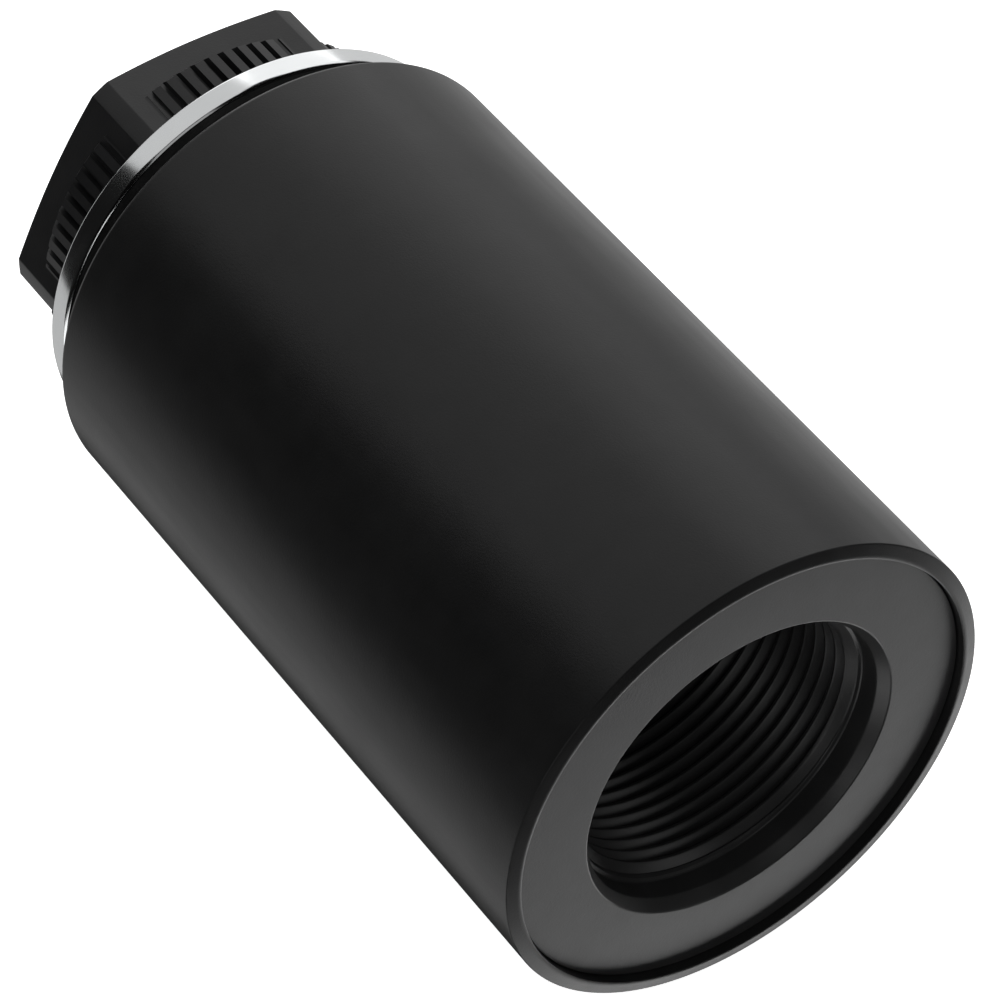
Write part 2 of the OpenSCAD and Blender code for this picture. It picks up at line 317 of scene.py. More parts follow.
def add_bump(material, value, strength, depth):
    """A bump of that depth, in millimetres, on top of any bump that is there."""
    nodes = material.node_tree.nodes
    links = material.node_tree.links
    bump = nodes.new("ShaderNodeBump")
    bump.inputs["Strength"].default_value = strength
    bump.inputs["Distance"].default_value = depth * MM
    links.new(value, bump.inputs["Height"])
    normal = shader_of(material).inputs["Normal"]
    if normal.is_linked:
        links.new(normal.links[0].from_socket, bump.inputs["Normal"])
    links.new(bump.outputs["Normal"], normal)

# %% [markdown]
# The body, the hub and the locknut are glass-filled nylon. The mould was eroded to a fine
# matt grain, and the parts pick up a few faint scuffs. The hub is a slightly greyer batch than
# the body. Grain is a bump from a fine noise, and scuffs are long thin streaks that only
# change the gloss.

# %% Moulded plastics
MOULD_GRAIN = 5200
MOULD_GRAIN_DEPTH = 0.02


def moulded(name, dark, light, rough, specular=0.32):
    """A moulded nylon with a matt grain, cloudy gloss and faint scuffs."""
    material = finish(name, light, rough, specular=specular)
    vary_color(material, noise(material, 260, 4.0), dark, light)
    cloudy = noise(material, 90, 5.0)
    scuffs = noise(material, 700, 2.0, stretch=(0.12, 1, 1))
    mixed = material.node_tree.nodes.new("ShaderNodeMix")
    mixed.inputs[0].default_value = 0.35
    material.node_tree.links.new(cloudy, mixed.inputs[2])
    material.node_tree.links.new(scuffs, mixed.inputs[3])
    vary_roughness(material, mixed.outputs[0], rough - 0.04, rough + 0.05)
    add_bump(material, noise(material, MOULD_GRAIN, 2.0), 0.5, MOULD_GRAIN_DEPTH)
    add_bump(material, noise(material, 420, 2.0), 0.12, 0.05)
    return material


body_plastic = moulded("body_plastic", (0.0065, 0.0065, 0.0067), (0.0085, 0.0085, 0.0087), 0.34)
hub_plastic = moulded("hub_plastic", (0.014, 0.014, 0.0143), (0.018, 0.018, 0.0184), 0.37,
                      specular=0.45)
nut_plastic = moulded("nut_plastic", (0.0065, 0.0065, 0.0069), (0.0090, 0.0090, 0.0095), 0.36)

# %% [markdown]
# The clamping ring is turned from stainless steel. A lathe leaves fine rings round the part,
# which are stripes along X, so the noise is squeezed along X and hardly changes round it.

# %% Turned metal
TOOL_MARKS = 9000


def turned(name, color, rough):
    """A turned metal with fine tool marks round the X axis and a little tarnish."""
    material = finish(name, color, rough, metallic=1.0)
    marks = noise(material, TOOL_MARKS, 2.0, stretch=(1, 0.01, 0.01))
    tarnish = noise(material, 160, 4.0)
    vary_roughness(material, tarnish, rough - 0.03, rough + 0.05)
    vary_color(material, tarnish, [c * 0.93 for c in color], color)
    add_bump(material, marks, 0.35, 0.004)
    return material


ring_metal = turned("ring_metal", (0.80, 0.815, 0.82), 0.13)
screw_steel = turned("screw_steel", (0.62, 0.62, 0.60), 0.30)
brass = turned("brass", (0.78, 0.58, 0.26), 0.30)
tinned_pins = turned("tinned_pins", (0.72, 0.70, 0.64), 0.34)

# %% [markdown]
# Gasket, bushing and O-ring are black rubber: dull, a little dusty, with a soft skin. Dust is
# a slightly lighter colour that collects in a blotchy noise.

# %% Rubber


def rubber(name):
    """A dull black rubber with a trace of dust."""
    material = finish(name, (0.012, 0.012, 0.012), 0.72, specular=0.35)
    dust = noise(material, 340, 6.0)
    vary_color(material, dust, (0.009, 0.009, 0.009), (0.022, 0.0215, 0.021), 0.45, 0.8)
    vary_roughness(material, dust, 0.62, 0.82)
    add_bump(material, noise(material, 2600, 3.0), 0.4, 0.02)
    return material


gasket_rubber = rubber("gasket_rubber")

# %% [markdown]
# The parts inside have the finishes they are sold with: dipped epoxy on the varistors, a
# moulded box round each filter capacitor, glazed ceramic fuses, cast resin, pressed paper and
# a green circuit board. One block covers the dipped, moulded and cast ones, since they differ
# only in colour, gloss and how wavy the skin is.

# %% Finishes of the inner parts
SKIN_SPECKLE = 2400
TINNED = (0.72, 0.70, 0.64)


def coated(name, dark, light, rough, wave, depth):
    """A dipped, glazed or moulded skin: cloudy colour, gentle waves and a fine grain."""
    material = finish(name, light, rough)
    vary_color(material, noise(material, wave, 5.0), dark, light, 0.35, 0.65)
    vary_roughness(material, noise(material, wave * 0.6, 4.0), rough * 0.75, rough * 1.25)
    add_bump(material, noise(material, wave, 2.0), 0.35, depth)
    add_bump(material, noise(material, SKIN_SPECKLE, 2.0), 0.3, depth / 5)
    return material


def laminate(name):
    """A circuit board: copper areas under the green lacquer, and the weave of the glass."""
    material = finish(name, (0.02, 0.11, 0.045), 0.32)
    copper = noise(material, 190, 0.0)
    vary_color(material, copper, (0.012, 0.075, 0.028), (0.028, 0.135, 0.05), 0.49, 0.505)
    vary_roughness(material, noise(material, 500, 3.0), 0.24, 0.42)
    add_bump(material, spread(material, copper, 0, 1, 0.49, 0.51), 0.5, 0.035)
    for weave in ((1, 1, 0.05), (1, 0.05, 1)):
        add_bump(material, noise(material, 2200, 1.0, stretch=weave), 0.2, 0.01)
    return material


def paper(name):
    """Pressed paper with short fibres lying in every direction."""
    material = finish(name, (0.68, 0.62, 0.46), 0.85, specular=0.2)
    fibres = noise(material, 900, 6.0, stretch=(1, 1, 0.2))
    vary_color(material, fibres, (0.50, 0.44, 0.30), (0.72, 0.66, 0.50), 0.35, 0.7)
    vary_roughness(material, noise(material, 300, 3.0), 0.75, 0.92)
    add_bump(material, fibres, 0.5, 0.04)
    add_bump(material, noise(material, 900, 6.0, stretch=(1, 0.2, 1)), 0.4, 0.04)
    return material


def bare_leads(material, low, high):
    """Turns whatever lies outside that stretch of the axis, the leads, into tinned metal."""
    nodes = material.node_tree.nodes
    links = material.node_tree.links
    place = nodes.new("ShaderNodeTexCoord")
    along = nodes.new("ShaderNodeSeparateXYZ")
    links.new(place.outputs["Object"], along.inputs["Vector"])
    outside = []
    for operation, limit in (("LESS_THAN", low), ("GREATER_THAN", high)):
        test = nodes.new("ShaderNodeMath")
        test.operation = operation
        test.inputs[1].default_value = limit * MM
        links.new(along.outputs["X"], test.inputs[0])
        outside.append(test.outputs["Value"])
    either = nodes.new("ShaderNodeMath")
    either.operation = "MAXIMUM"
    for i, value in enumerate(outside):
        links.new(value, either.inputs[i])
    shader = shader_of(material)
    mix = nodes.new("ShaderNodeMix")
    mix.data_type = "RGBA"
    links.new(either.outputs["Value"], mix.inputs[0])
    links.new(shader.inputs["Base Color"].links[0].from_socket, mix.inputs[6])
    mix.inputs[7].default_value = (*TINNED, 1)
    links.new(mix.outputs[2], shader.inputs["Base Color"])
    links.new(either.outputs["Value"], shader.inputs["Metallic"])


resin = coated("resin", (0.028, 0.024, 0.020), (0.050, 0.044, 0.038), 0.22, wave=120, depth=0.12)
terminal_plastic = coated("terminal_plastic", (0.040, 0.125, 0.058), (0.055, 0.16, 0.075), 0.42,
                          wave=260, depth=0.02)
varistor_coating = coated("varistor_coating", (0.020, 0.075, 0.24), (0.035, 0.11, 0.32), 0.24,
                          wave=420, depth=0.08)
fuse_case = coated("fuse_case", (0.60, 0.57, 0.48), (0.74, 0.71, 0.62), 0.30, wave=700,
                   depth=0.02)
capacitor_case = coated("capacitor_case", (0.56, 0.37, 0.045), (0.66, 0.45, 0.07), 0.38,
                        wave=260, depth=0.02)
tube_metal = turned("tube_metal", (0.60, 0.58, 0.52), 0.26)
board_laminate = laminate("board_laminate")
insulation = paper("insulation")
VARISTOR_R = 10.0
FUSE_LENGTH = 11.0
FUSE_LEAD = 2.5
CAPACITOR_GAP = 0.25
bare_leads(varistor_coating, span("varistor_1")[1].x - 2 * VARISTOR_R, rim_x)
fuse_end = span("thermal_fuses")[1].x - FUSE_LEAD
bare_leads(fuse_case, fuse_end - FUSE_LENGTH, fuse_end)
bare_leads(capacitor_case, 0, span("terminal_board")[0].x - CAPACITOR_GAP)
carried_over = {
    "hub_o_ring": gasket_rubber, "resin_seal": resin, "terminal_clamps": brass,
    "terminal_board": board_laminate, "power_board": board_laminate,
    "board_screws": screw_steel, "lock_washers": screw_steel, "board_spacers": brass,
    "link_pins": tinned_pins, "thermal_fuses": fuse_case, "insulating_disc": insulation}
for node, material in carried_over.items():
    for slot in frame["nodes"][node].material_slots:
        slot.link = "OBJECT"
        slot.material = material
print("finishes given to", len(carried_over), "parts that keep their packed shape")

# %% [markdown]
# The two threads are metric: 60 degree flanks, a ridge every 1.5 mm. A thread is one outline
# of ridges and grooves that is spun once round while it climbs by one pitch, so the end of
# each ridge meets the start of the next. Both ends are then cut square by a plane.

# %% Threads
PITCH = 1.5
THREAD_DEPTH = 0.5413 * PITCH
# One ridge with slightly rounded corners: (share of the pitch, share of the depth)
THREAD_FORM = [(-0.0925, 0.90), (-0.045, 1.0), (0.045, 1.0), (0.0925, 0.90),
               (0.36, 0.10), (0.43, 0.0), (0.57, 0.0), (0.64, 0.10)]


def helix(low, high, minor_r, major_r, steps=TURN_STEPS):
    """A right-handed threaded tube, open and cut square at both ends."""
    first = math.floor(low / PITCH) - 1
    last = math.ceil(high / PITCH) + 1
    points = [((turn + along) * PITCH, minor_r + height * (major_r - minor_r))
              for turn in range(first, last) for along, height in THREAD_FORM]
    bm = outline(points, closed=False)
    bmesh.ops.spin(bm, geom=bm.verts[:] + bm.edges[:], cent=(0, 0, 0), axis=(1, 0, 0),
                   dvec=(PITCH / steps, 0, 0), angle=math.tau, steps=steps, use_merge=False)
    bmesh.ops.remove_doubles(bm, verts=bm.verts, dist=TOUCH)
    for x, side in ((low, -1), (high, 1)):
        bmesh.ops.bisect_plane(bm, geom=bm.verts[:] + bm.edges[:] + bm.faces[:], dist=TOUCH / 10,
                               plane_co=(x, 0, 0), plane_no=(side, 0, 0), clear_outer=True)
    return bm


def cone_end(bm, x, length, r, widen):
    """Turns the thread's last stretch, next to x, down or up to a cone that ends at radius r."""
    for v in bm.verts:
        left = abs(v.co.x - x)
        if left < length:
            now = radius_of(v)
            limit = r - left if widen else r + left
            wanted = max(now, limit) if widen else min(now, limit)
            v.co.y *= wanted / now
            v.co.z *= wanted / now


trial = helix(0, 6, thread_minor_r, thread_minor_r + THREAD_DEPTH, 48)
climb = [v for v in trial.verts if abs(radius_of(v) - thread_minor_r - THREAD_DEPTH) < TOUCH]
print("trial thread: vertices", len(trial.verts), "on the ridge", len(climb))
trial.free()

# %% [markdown]
# The body is one moulding: tube, rear wall and nipple. Its plain surfaces are one outline
# spun round. The nipple's thread is a helix of its own, joined on at both ends, and the rear
# edge and the rim are rounded, because those thin bright lines give the edges away.

# %% The body
BODY_WALL = 2.5
RIM_WALL = 1.5
RIM_SLOPE = 0.25
REAR_WALL = 3.3
FLANGE = 4.0
RIM_FLAT = 0.35
EDGE_BREAK = 0.12
THREAD_RELIEF = 0.6
BORE_GAP = 0.05
REAR_ROUND = 0.6
nipple_r = 15.0
nipple_root_r = nipple_r - THREAD_DEPTH - BORE_GAP
relief_r = nipple_r - 0.5
nipple_tip_r = nipple_r - 0.8
bushing_r = bushing_high.y + BORE_GAP
chamber_x = shoulder_x + REAR_WALL
flange_x = face_x - FLANGE
rim_r = body_r - RIM_WALL
chamber_r = body_r - BODY_WALL
thread_stop = shoulder_x - THREAD_RELIEF

bm = outline([(thread_stop, relief_r), (shoulder_x, relief_r), (shoulder_x, body_r),
              (rim_x - RIM_SLOPE, body_r), (rim_x, rim_r + RIM_FLAT), (rim_x, rim_r),
              (flange_x, rim_r), (flange_x, chamber_r),
              (chamber_x, chamber_r), (chamber_x, bushing_r), (nipple_end, bushing_r),
              (nipple_end, nipple_tip_r)], closed=False)
spin_round(bm)
soften(bm, rings_at(bm, shoulder_x, body_r), REAR_ROUND, 5)
soften(bm, rings_at(bm, rim_x - RIM_SLOPE, body_r), EDGE_BREAK, 3)
soften(bm, rings_at(bm, rim_x, rim_r + RIM_FLAT), EDGE_BREAK, 2)
soften(bm, rings_at(bm, rim_x, rim_r), 0.08, 2)
soften(bm, rings_at(bm, nipple_end, bushing_r), 0.3, 2)
nipple_thread = helix(nipple_end, thread_stop, nipple_root_r, nipple_r)
cone_end(nipple_thread, nipple_end, 1.2, nipple_tip_r, widen=False)
merge_in(bm, nipple_thread)
for x in (nipple_end, thread_stop):
    bmesh.ops.bridge_loops(bm, edges=open_loop_at(bm, x))
piece(bm, "body_shell", "housing", body_plastic, ["housing"])

# %% [markdown]
# The hub closes the body. Its end face lies a little below the rim, and a bevelled mouth
# leads to a plain bore and then to the thread. Behind the thread a plain groove gives the
# cutter room, and the floor has a window for the terminal block. The floor's faces run from
# the window's rectangle to the round walls, which bridging two loops makes in one step.

# %% The threaded hub
MOUTH_R = 15.4
MOUTH_BEVEL = 0.8
MOUTH_BEVEL_DEPTH = 1.12
HUB_FLOOR = 3.0
O_RING_CORD = 1.6
O_RING_SLACK = 0.3
O_RING_LAND = 1.1
THREAD_ENTRY = 0.24
WINDOW_GAP = 0.5
WINDOW_CUTS = 7
hub_r = 17.6
flange_r = hub_high.y
hub_floor_top = hub_low.x + HUB_FLOOR
thread_major_r = thread_minor_r + THREAD_DEPTH
entry_r = thread_major_r + BORE_GAP
groove_low = flange_x + O_RING_LAND
groove_high = groove_low + O_RING_CORD + O_RING_SLACK
groove_r = rim_r - O_RING_CORD
block_low, block_high = span("terminal_block")


def window_loop(bm, x, half_y, half_z):
    """A rectangle of edges across the axis."""
    corners = [bm.verts.new((x, y, z)) for y, z in
               ((-half_y, -half_z), (half_y, -half_z), (half_y, half_z), (-half_y, half_z))]
    edges = [bm.edges.new((corners[i - 1], corners[i])) for i in range(4)]
    made = bmesh.ops.subdivide_edges(bm, edges=edges, cuts=WINDOW_CUTS)
    return [e for e in made["geom"] if isinstance(e, bmesh.types.BMEdge)]


bm = outline([(thread_high, entry_r), (thread_high + THREAD_ENTRY / 2, MOUTH_R - 0.08),
              (thread_high + THREAD_ENTRY, MOUTH_R),
              (face_x - MOUTH_BEVEL_DEPTH, MOUTH_R), (face_x, MOUTH_R + MOUTH_BEVEL),
              (face_x, flange_r), (groove_high, flange_r), (groove_high, groove_r),
              (groove_low, groove_r), (groove_low, flange_r), (flange_x, flange_r),
              (flange_x, hub_r), (hub_low.x, hub_r)], closed=False)
spin_round(bm)
soften(bm, rings_at(bm, face_x, MOUTH_R + MOUTH_BEVEL), EDGE_BREAK, 2)
soften(bm, rings_at(bm, face_x - MOUTH_BEVEL_DEPTH, MOUTH_R), 0.15, 2)
soften(bm, rings_at(bm, face_x, flange_r), EDGE_BREAK, 2)
relief = outline([(hub_floor_top, MOUTH_R), (thread_low, MOUTH_R)], closed=False)
spin_round(relief)
merge_in(bm, relief)
hub_thread = helix(thread_low, thread_high, thread_minor_r, thread_major_r)
cone_end(hub_thread, thread_high, 1.0, entry_r, widen=True)
merge_in(bm, hub_thread)
for x in (thread_low, thread_high):
    bmesh.ops.bridge_loops(bm, edges=open_loop_at(bm, x))
half_y = block_high.y + WINDOW_GAP
half_z = block_high.z + WINDOW_GAP
for x in (hub_low.x, hub_floor_top):
    wall = open_loop_at(bm, x)
    join_loops(bm, wall, window_loop(bm, x, half_y, half_z))
window = [e for x in (hub_low.x, hub_floor_top) for e in open_loop_at(bm, x)]
bmesh.ops.bridge_loops(bm, edges=window)
piece(bm, "threaded_hub", "housing", hub_plastic, ["front_hub"])

# %% [markdown]
# The clamping ring is a plain turned washer with small bevels. The gasket behind it is
# rubber, so its edges are rounder and its side bulges a little where it was squeezed.

# %% Ring and gasket
RING_BORE_R = 15.3
GASKET_BULGE = 0.25
ring_r = ring_high.y
gasket_r = gasket_high.y
gasket_edge_r = gasket_r - GASKET_BULGE
bm = outline([(ring_low.x, RING_BORE_R), (ring_low.x, ring_r), (ring_high.x, ring_r),
              (ring_high.x, RING_BORE_R)])
spin_round(bm, 256)
for x, edge_break in ((ring_low.x, 0.22), (ring_high.x, 0.42)):
    soften(bm, rings_at(bm, x, ring_r), edge_break, 3)
    soften(bm, rings_at(bm, x, RING_BORE_R), 0.3, 2)
piece(bm, "clamping_ring", "ring", ring_metal, ["clamp_ring"])

gasket_middle = (gasket_low.x + gasket_high.x) / 2
bm = outline([(gasket_low.x, nipple_r + BORE_GAP), (gasket_low.x, gasket_edge_r),
              (gasket_middle, gasket_r), (gasket_high.x, gasket_edge_r),
              (gasket_high.x, nipple_r + BORE_GAP)])
spin_round(bm)
soften(bm, rings_at(bm, gasket_middle, gasket_r), 0.7, 4)
for x in (gasket_low.x, gasket_high.x):
    soften(bm, rings_at(bm, x, gasket_edge_r), 0.35, 3)
piece(bm, "rubber_gasket", "housing", gasket_rubber, ["panel_gasket"])

# %% [markdown]
# The leads leave through a soft rubber bushing in the nipple. It is a turned plug with four
# round holes, cut with a boolean, and the lips of plug and holes are rounded.

# %% The lead bushing
LEAD_HOLE_R = 1.7
bushing_plug_r = bushing_high.y
hole_off = bushing_r / 2 * math.sqrt(0.5)


def rods(places, r, low, high, segments=32):
    """Round cutters along X at the (y, z) places."""
    bm = bmesh.new()
    for y, z in places:
        made = bmesh.ops.create_cone(bm, cap_ends=True, segments=segments, radius1=r, radius2=r,
                                     depth=high - low,
                                     matrix=Matrix.Translation(((low + high) / 2, y, z))
                                     @ Matrix.Rotation(math.radians(90), 4, "Y"))
    return bm


def lips_at(bm, places, x, r):
    """The edges of round holes at the (y, z) places in the plane at that x."""
    def on_lip(v):
        return abs(v.co.x - x) < 0.01 and any(
            abs(math.hypot(v.co.y - y, v.co.z - z) - r) < 0.01 for y, z in places)
    return [e for e in bm.edges if on_lip(e.verts[0]) and on_lip(e.verts[1])]


bm = outline([(bushing_low.x, 0), (bushing_low.x, bushing_plug_r),
              (bushing_high.x, bushing_plug_r), (bushing_high.x, 0)], closed=False)
spin_round(bm, 96)
soften(bm, rings_at(bm, bushing_low.x, bushing_plug_r), 0.5, 4)
hole_places = [(y, z) for y in (-hole_off, hole_off) for z in (-hole_off, hole_off)]
bm = boolean(bm, rods(hole_places, LEAD_HOLE_R, bushing_low.x - 1, bushing_high.x + 1),
             "DIFFERENCE")
for x in (bushing_low.x, bushing_high.x):
    soften(bm, lips_at(bm, hole_places, x, LEAD_HOLE_R), 0.25, 3)
piece(bm, "lead_bushing_plug", "housing", gasket_rubber, ["lead_bushing"])

# %% [markdown]
# The terminal block shows through the mouth of the hub. It is a moulded box with rounded
# edges, a screw hole and a wire hole for each terminal, and a pocket for each clamp.

# %% The terminal block
TERMINALS = 3
TERMINAL_PITCH = 8.0
SCREW_OFF = 2.6
SCREW_HOLE_R = 2.0
WIRE_OFF = 2.8
WIRE_HOLE_R = 1.7
PIN_HOLE_R = 0.6
CLAMP_H = 1.8
CLAMP_SIZE = Vector((3.0, 6.0, 9.0))
CLAMP_GAP = Vector((0.1, 0.1, 0.1))
block_x = block_low.x
block_top_x = block_high.x
clamp_floor_x = block_x + CLAMP_H
clamp_top_x = clamp_floor_x + CLAMP_SIZE.x
rows = [(i - (TERMINALS - 1) / 2) * TERMINAL_PITCH for i in range(TERMINALS)]


def block(low, high):
    """A box between two corners."""
    bm = bmesh.new()
    size = high - low
    bmesh.ops.create_cube(bm, size=1, matrix=Matrix.Translation((low + high) / 2)
                          @ Matrix.Diagonal((*size, 1)))
    return bm


bm = block(block_low, block_high)
soften(bm, bm.edges[:], 0.4, 3)
screw_places = [(y, -SCREW_OFF) for y in rows]
wire_places = [(y, WIRE_OFF) for y in rows]
pin_places = [(y, 0) for y in rows]
for places, r, low, high in (
        (screw_places, SCREW_HOLE_R, clamp_top_x - 1, block_top_x + 1),
        (wire_places, WIRE_HOLE_R, clamp_top_x - 1, block_top_x + 1),
        (pin_places, PIN_HOLE_R, block_x - 1, clamp_floor_x + 1)):
    bm = boolean(bm, rods(places, r, low, high), "DIFFERENCE")
for y in rows:
    middle = Vector((clamp_floor_x + CLAMP_SIZE.x / 2, y, 0))
    half = CLAMP_SIZE / 2 + CLAMP_GAP
    bm = boolean(bm, block(middle - half, middle + half), "DIFFERENCE")
soften(bm, lips_at(bm, screw_places, block_top_x, SCREW_HOLE_R), 0.2, 2)
soften(bm, lips_at(bm, wire_places, block_top_x, WIRE_HOLE_R), 0.3, 3)
piece(bm, "terminal_block_case", "housing", terminal_plastic,
      ["terminal_block"])

# %% [markdown]
# The terminal screws are slotted cheese heads: a turned head and shank, a milled slot, and
# every edge broken.

# %% The terminal screws
SHANK_R = 1.35
HEAD_R = 1.8
HEAD_HEIGHT = 2.2
SLOT_DEPTH = 0.8
SLOT_WIDTH = 0.6
screws_low, screws_high = span("terminal_screws")
under_head_x = screws_high.x - HEAD_HEIGHT
slot_low = Vector((screws_high.x - SLOT_DEPTH, -HEAD_R - 0.7, -SLOT_WIDTH / 2))
slot_high = Vector((screws_high.x + 1, HEAD_R + 0.7, SLOT_WIDTH / 2))
bm = bmesh.new()
for y, z in screw_places:
    screw = outline([(screws_low.x, 0), (screws_low.x, SHANK_R), (under_head_x, SHANK_R),
                     (under_head_x, HEAD_R), (screws_high.x, HEAD_R), (screws_high.x, 0)],
                    closed=False)
    spin_round(screw, 48)
    soften(screw, rings_at(screw, screws_high.x, HEAD_R), 0.3, 3)
    soften(screw, rings_at(screw, screws_low.x, SHANK_R), 0.2, 2)
    screw = boolean(screw, block(slot_low, slot_high), "DIFFERENCE")
    bmesh.ops.translate(screw, vec=(0, y, z), verts=screw.verts)
    merge_in(bm, screw)
piece(bm, "terminal_screw_set", "housing", screw_steel, ["terminal_screws"])

# %% [markdown]
# The components on the power board. A varistor is a ceramic disc dipped in epoxy, so it is
# spun as a disc, its edge is fully rounded, and the leads are joined on. The gas tube has two
# flared metal ends, and the capacitors are moulded boxes with small radii.

# %% Varistors, gas tube and capacitors
VARISTOR_T = 4.5
VARISTOR_ROUND = 1.3
VARISTOR_LEAD_OFF = 3.75
VARISTOR_LEAD_LENGTH = 6.4
LEAD_R = 0.4
CLEAR_ANGLE = math.radians(40)


def spin_about(bm, center, axis, steps):
    """Spins an outline round an axis through a centre that lies on the device's axis."""
    bmesh.ops.spin(bm, geom=bm.verts[:] + bm.edges[:], cent=center, axis=axis,
                   angle=math.tau, steps=steps, use_merge=True)
    bmesh.ops.remove_doubles(bm, verts=bm.verts, dist=TOUCH)


def sharp_edges(bm):
    """The edges whose two faces meet at a clear angle."""
    bmesh.ops.recalc_face_normals(bm, faces=bm.faces)
    return [e for e in bm.edges if e.is_manifold and e.calc_face_angle() > CLEAR_ANGLE]


for index in range(1, 5):
    node = f"varistor_{index}"
    low, high = span(node)
    middle = (low + high) / 2
    out = math.hypot(middle.y, middle.z)
    disc_x = high.x - VARISTOR_R
    near, far = out - VARISTOR_T / 2, out + VARISTOR_T / 2
    bm = outline([(disc_x, near), (disc_x + VARISTOR_R, near), (disc_x + VARISTOR_R, far),
                  (disc_x, far)], closed=False)
    spin_about(bm, (disc_x, 0, 0), (0, 0, 1), 96)
    soften(bm, sharp_edges(bm), VARISTOR_ROUND, 5)
    lead_places = [(-VARISTOR_LEAD_OFF, out), (VARISTOR_LEAD_OFF, out)]
    bm = boolean(bm, rods(lead_places, LEAD_R, low.x, low.x + VARISTOR_LEAD_LENGTH, 24), "UNION")
    bmesh.ops.rotate(bm, cent=(0, 0, 0), verts=bm.verts,
                     matrix=Matrix.Rotation(math.atan2(-middle.y, middle.z), 3, "X"))
    piece(bm, f"{node}_disc", "housing", varistor_coating, [node])

gas_low, gas_high = span("gas_tube")
gas_half = gas_high.y
gas_r = gas_high.z
gas_x = gas_high.x - gas_r
CAP_LENGTH = 2.4
CAP_FLARE = 0.3
WAIST_DEPTH = 0.35
GAS_LEAD_INSET = 0.6
gas_waist_r = gas_r - WAIST_DEPTH
gas_points = [(0, -gas_half), (gas_r, -gas_half), (gas_r, CAP_LENGTH - gas_half),
              (gas_waist_r, CAP_LENGTH + CAP_FLARE - gas_half),
              (gas_waist_r, gas_half - CAP_LENGTH - CAP_FLARE), (gas_r, gas_half - CAP_LENGTH),
              (gas_r, gas_half), (0, gas_half)]
bm = outline([(gas_x + r, y) for r, y in gas_points], closed=False)
bmesh.ops.rotate(bm, cent=(0, 0, 0), verts=bm.verts,
                 matrix=Matrix.Rotation(math.radians(-90), 3, "X"))
spin_about(bm, (gas_x, 0, 0), (0, 1, 0), 72)
soften(bm, sharp_edges(bm), 0.25, 2)
gas_leads = [(end * (gas_half - GAS_LEAD_INSET), 0) for end in (-1, 0, 1)]
bm = boolean(bm, rods(gas_leads, LEAD_R, gas_low.x, gas_x, 24), "UNION")
piece(bm, "gas_tube_body", "housing", tube_metal, ["gas_tube"])

capacitors_low, capacitors_high = span("filter_capacitors")
CAPACITOR = Vector((10.0, 12.0, 5.0))
CAPACITOR_LEAD_OFF = 4.5
CAPACITOR_LEAD_ROOT = 1.7
bm = bmesh.new()
for side in (-1, 1):
    z = side * (capacitors_high.z - CAPACITOR.z / 2)
    middle = Vector((capacitors_low.x + CAPACITOR.x / 2, 0, z))
    box = block(middle - CAPACITOR / 2, middle + CAPACITOR / 2)
    soften(box, box.edges[:], 0.5, 3)
    capacitor_leads = [(end * CAPACITOR_LEAD_OFF, z) for end in (-1, 1)]
    top = capacitors_low.x + CAPACITOR.x
    leads = rods(capacitor_leads, LEAD_R, top - CAPACITOR_LEAD_ROOT, capacitors_high.x, 24)
    merge_in(bm, boolean(box, leads, "UNION"))
piece(bm, "filter_capacitor_pair", "housing", capacitor_case,
      ["filter_capacitors"])

# %% [markdown]
# The locknut starts as a turned blank with a bevelled end. Six planes cut the flats, which
# leaves the curved edges that a real hexagon nut has. The grip is a toothed collar: one tooth
# is drawn and spun round as copies, then drawn out along the axis. A boolean joins the two,
# and the thread replaces the plain bore.

# %% The locknut
NUT_FLAT_R = 18.0
NUT_BEVEL = math.tan(math.radians(14.5))
NUT_BEVEL_START = 0.4
TEETH = 78
TOOTH_DEPTH = 0.85
TEETH_LENGTH = 7.6
nut_corner_r = nut_high.y
tooth_tip_r = 19.55
tooth_root_r = tooth_tip_r - TOOTH_DEPTH
NUT_THREAD_SLACK = 0.08
NUT_BORE_SLACK = 0.45
NUT_ENTRY = 0.45
NUT_EXIT = 0.3
nut_bore_r = nipple_r + NUT_BORE_SLACK
nut_thread_low = nut_low.x + NUT_ENTRY
nut_thread_high = nut_high.x - NUT_EXIT


def hexagon_blank():
    """The turned blank with its six flats cut."""
    start = NUT_FLAT_R - NUT_BEVEL_START
    drop = (nut_corner_r - start) * NUT_BEVEL
    blank = outline([(nut_high.x, nut_bore_r), (nut_high.x, nut_corner_r),
                     (nut_low.x + drop, nut_corner_r), (nut_low.x, start),
                     (nut_low.x, nut_bore_r)])
    spin_round(blank, 240)
    for side in range(6):
        angle = math.radians(90 + 60 * side)
        normal = Vector((0, math.cos(angle), math.sin(angle)))
        cut = bmesh.ops.bisect_plane(blank, geom=blank.verts[:] + blank.edges[:] + blank.faces[:],
                                     dist=TOUCH / 10, plane_co=normal * NUT_FLAT_R,
                                     plane_no=normal, clear_outer=True)
        rim = [e for e in cut["geom_cut"] if isinstance(e, bmesh.types.BMEdge)]
        bmesh.ops.edgeloop_fill(blank, edges=rim)
    bmesh.ops.recalc_face_normals(blank, faces=blank.faces)
    edges = [e for e in blank.edges if e.is_manifold
             and e.calc_face_angle() > math.radians(12)
             and all(radius_of(v) > NUT_FLAT_R - TOUCH for v in e.verts)]
    soften(blank, edges, 0.16, 2)
    return blank


